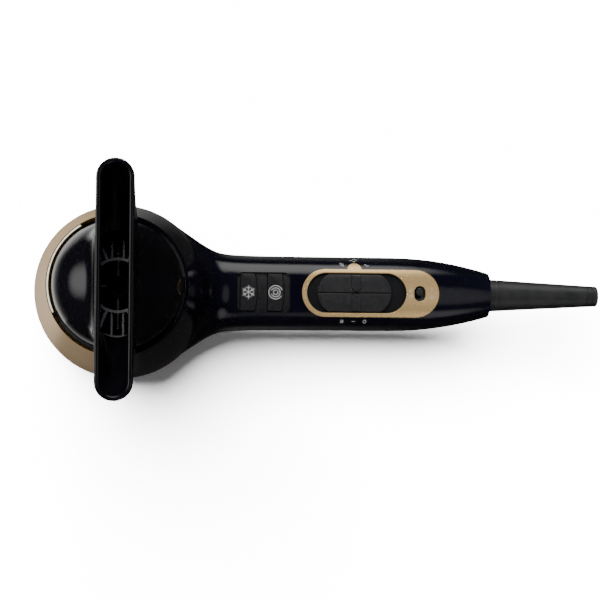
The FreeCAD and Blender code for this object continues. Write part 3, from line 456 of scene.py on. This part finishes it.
def panel_marks():
    """Generic heat, airflow and ion marks around the bezel."""
    side = -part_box("control_bezel")[0].y / MM
    slider_low, slider_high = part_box("heat_slider")
    x = (slider_low.x + slider_high.x) / 2 / MM
    skin = surface_of("front_handle_cover")
    heat = [wave(x + along, side + out, width, height) for along, out, width, height in HEAT_WAVES]
    lay_marks("heat_marks", heat, skin, "body", PRINT, 0.22)
    air = [[(x + start, -side - out), (x + end, -side - out)] for start, end, out in AIR_BARS]
    along, out, radius = AIR_RING
    air.append(ring_points(x + along, -side - out, radius))
    lay_marks("air_marks", air, skin, "body", PRINT, 0.26)
    knob_low, knob_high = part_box("ion_slider")
    knob_x = (knob_low.x + knob_high.x) / 2 / MM
    along, start, end = ION_DASH
    ion = [[(knob_x + along, start), (knob_x + along, end)]]
    ion += [ring_points(knob_x + dx, dy, radius, start, end) for dx, dy, radius, start, end in ION_RINGS]
    lay_marks("ion_marks", ion, surface_of("control_bezel"), "body", PRINT, 0.24)


def ring_tube(name, radius, z, tube, start, end, body, material):
    """Thin round bead along an arc about the barrel's axis, in millimetres and degrees."""
    mesh = bmesh.new()
    around = 10
    closed = abs(end - start) >= 360
    count = int(abs(end - start) / 2)
    rows = []
    for i in range(count if closed else count + 1):
        turn = math.radians(start + (end - start) * i / count)
        row = []
        for k in range(around):
            lean = 2 * math.pi * k / around
            r = (radius + tube * math.cos(lean)) * MM
            height = (z + tube * math.sin(lean)) * MM
            row.append(mesh.verts.new((r * math.cos(turn), r * math.sin(turn), height)))
        rows.append(row)
    pairs = list(zip(rows, rows[1:] + rows[:1])) if closed else list(zip(rows, rows[1:]))
    for a, b in pairs:
        for k in range(around):
            n = (k + 1) % around
            mesh.faces.new((a[k], b[k], b[n], a[n]))
    if not closed:
        mesh.faces.new(rows[0])
        mesh.faces.new(list(reversed(rows[-1])))
    bmesh.ops.recalc_face_normals(mesh, faces=mesh.faces)
    return finish_mesh(mesh, name, body, material, smooth=True)


def trim():
    """Lip where the cover meets the nozzle, its pale colour a painted highlight, and a dark bead in the inlet
    cap's seam.
    """
    lip_r = -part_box("nozzle_shell")[0].x / MM + LIP_FROM_NOZZLE
    lip_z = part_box("barrel_cover")[1].z / MM - LIP_SINK
    ring_tube("cover_lip", lip_r, lip_z, LIP_BEAD_R, *LIP_ARC_DEG, "body", LIP_HIGHLIGHT_PAINT)
    cap_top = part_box("rear_cap")[1]
    seam_r = cap_top.x / MM - SEAM_SINK
    dark = SLOT_MATERIALS["dark_plastic"]
    ring_tube("cap_seam", seam_r, cap_top.z / MM, SEAM_BEAD_R, 0, 360, "body", dark)


# ---- set ------------------------------------------------------------------------

ROOM_STRENGTH = 0.22
SUN_STRENGTH = 58.0
SUN_FROM = (-0.20, 0.36, 1.0)
SUN_ANGLE_DEG = 34.0
FLOOR_SIZE = 12.0
FLOOR_MIDDLE_X = 0.1
FLOOR_DROP = 0.0003

# What gloss mirrors. A span is the dot products at which a light starts and at which it is full.
GLOSS_TINT = (1.0, 0.985, 0.97)
CARD_EDGE_DEG = 214.0
CARD_EDGE_SPAN = (-0.01, 0.02)
CARD = {"toward": (-0.92, 0.30, -0.10), "span": (0.0, 0.60), "down_span": (0.35, 1.00), "strength": 1.15}
FILL = {"toward": (-0.86, -0.50, 0.0), "span": (0.05, 0.50), "down_span": (0.55, 0.95), "strength": 0.62}
GLOW = {"toward": (-0.856, 0.082, 0.510), "span": (0.88, 1.0), "strength": 2.6}
SOFT_BOXES = (
    {"toward": (0.0, 0.95, 0.30), "span": (0.86, 0.99), "strength": 3.2},
    {"toward": (-0.42, 0.62, -0.66), "span": (0.90, 0.995), "strength": 1.0},
    {"toward": (0.36, -0.80, 0.47), "span": (0.93, 0.995), "strength": 1.0},
    {"toward": (0.50, -0.05, 0.86), "span": (0.94, 0.995), "strength": 0.5},
)
HORIZON = {"toward": (0.0, 0.0, -1.0), "span": (-0.45, 0.25), "strength": 0.015}

CAMERA_PLACE = (0.0132, -0.0243, 0.8888)
CAMERA_TURN = (0.0248, -0.0920, 0.0073)
CAMERA_LENS = 99.2
CAMERA_SENSOR = 36.0


def studio_floor():
    height = CAD_BOX[0][2] - FLOOR_DROP
    bpy.ops.mesh.primitive_plane_add(size=FLOOR_SIZE, location=(FLOOR_MIDDLE_X, 0.0, height))
    floor = bpy.context.object
    floor.name = "studio_floor"
    paper = Surface("floor_paper", specular=0.1)
    paper.shader.inputs["Roughness"].default_value = 0.9
    paper.vary_color(paper.noise(3.0), (0.925, 0.925, 0.925), (0.935, 0.935, 0.935))
    floor.data.materials.append(paper.material)
    floor.visible_glossy = False


class Sky:
    """World nodes that build a brightness from the direction looked in."""

    def __init__(self, tree):
        self.nodes = tree.nodes
        self.links = tree.links
        self.direction = self.nodes.new("ShaderNodeTexCoord").outputs["Generated"]

    def lit(self, toward, span):
        """Zero to one, growing smoothly as the direction nears the one given."""
        dot = self.nodes.new("ShaderNodeVectorMath")
        dot.operation = "DOT_PRODUCT"
        dot.inputs[1].default_value = toward
        self.links.new(self.direction, dot.inputs[0])
        spread = self.nodes.new("ShaderNodeMapRange")
        spread.interpolation_type = "SMOOTHSTEP"
        spread.inputs["From Min"].default_value = span[0]
        spread.inputs["From Max"].default_value = span[1]
        self.links.new(dot.outputs["Value"], spread.inputs["Value"])
        return spread.outputs["Result"]

    def combine(self, operation, a, b):
        node = self.nodes.new("ShaderNodeMath")
        node.operation = operation
        self.links.new(a, node.inputs[0])
        if isinstance(b, float):
            node.inputs[1].default_value = b
        else:
            self.links.new(b, node.inputs[1])
        return node.outputs["Value"]

    def light(self, row, mask=None):
        """One row of the lights above, within a mask where there is one."""
        share = self.lit(row["toward"], row["span"])
        if mask:
            share = self.combine("MULTIPLY", mask, share)
        if "down_span" in row:
            share = self.combine("MULTIPLY", share, self.lit((0.0, 0.0, -1.0), row["down_span"]))
        return self.combine("MULTIPLY", share, row["strength"])

    def background(self, color):
        node = self.nodes.new("ShaderNodeBackground")
        node.inputs["Color"].default_value = (*color, 1.0)
        return node


def studio_world():
    """An even white room. Gloss sees a dark one instead, with a card, a fill, a glow and soft boxes."""
    world = bpy.data.worlds.new("studio")
    bpy.context.scene.world = world
    world.use_nodes = True
    world.node_tree.nodes.clear()
    sky = Sky(world.node_tree)
    turn = math.radians(CARD_EDGE_DEG - 90)
    edge = sky.lit((math.cos(turn), math.sin(turn), 0.0), CARD_EDGE_SPAN)
    lights = [sky.light(CARD, edge), sky.light(GLOW, edge), sky.light(FILL), sky.light(HORIZON)]
    lights += [sky.light(row) for row in SOFT_BOXES]
    level = lights[0]
    for part in lights[1:]:
        level = sky.combine("ADD", level, part)
    room = sky.background(GLOSS_TINT)
    sky.links.new(level, room.inputs["Strength"])
    white = sky.background((1.0, 1.0, 1.0))
    white.inputs["Strength"].default_value = ROOM_STRENGTH
    path = sky.nodes.new("ShaderNodeLightPath")
    mix = sky.nodes.new("ShaderNodeMixShader")
    sky.links.new(path.outputs["Is Glossy Ray"], mix.inputs["Fac"])
    sky.links.new(white.outputs["Background"], mix.inputs[1])
    sky.links.new(room.outputs["Background"], mix.inputs[2])
    out = sky.nodes.new("ShaderNodeOutputWorld")
    sky.links.new(mix.outputs["Shader"], out.inputs["Surface"])


def studio_lights():
    """One very soft high light from the upper left of the camera's view, which gloss doesn't mirror."""
    data = bpy.data.lights.new("key", "SUN")
    data.energy = SUN_STRENGTH
    data.angle = math.radians(SUN_ANGLE_DEG)
    key = bpy.data.objects.new("key", data)
    bpy.context.scene.collection.objects.link(key)
    key.rotation_euler = Vector(SUN_FROM).to_track_quat("Z", "Y").to_euler()
    key.visible_glossy = False


def camera():
    """Above the outlet, looking down the barrel and a little towards the handle."""
    lens = bpy.data.cameras.new("camera")
    lens.sensor_width = CAMERA_SENSOR
    lens.lens = CAMERA_LENS
    lens.clip_start = 0.01
    view = bpy.data.objects.new("camera", lens)
    bpy.context.scene.collection.objects.link(view)
    view.location = CAMERA_PLACE
    view.rotation_euler = CAMERA_TURN
    bpy.context.scene.camera = view


dress_cad()
key_marks()
panel_marks()
trim()
studio_floor()
studio_world()
studio_lights()
camera()
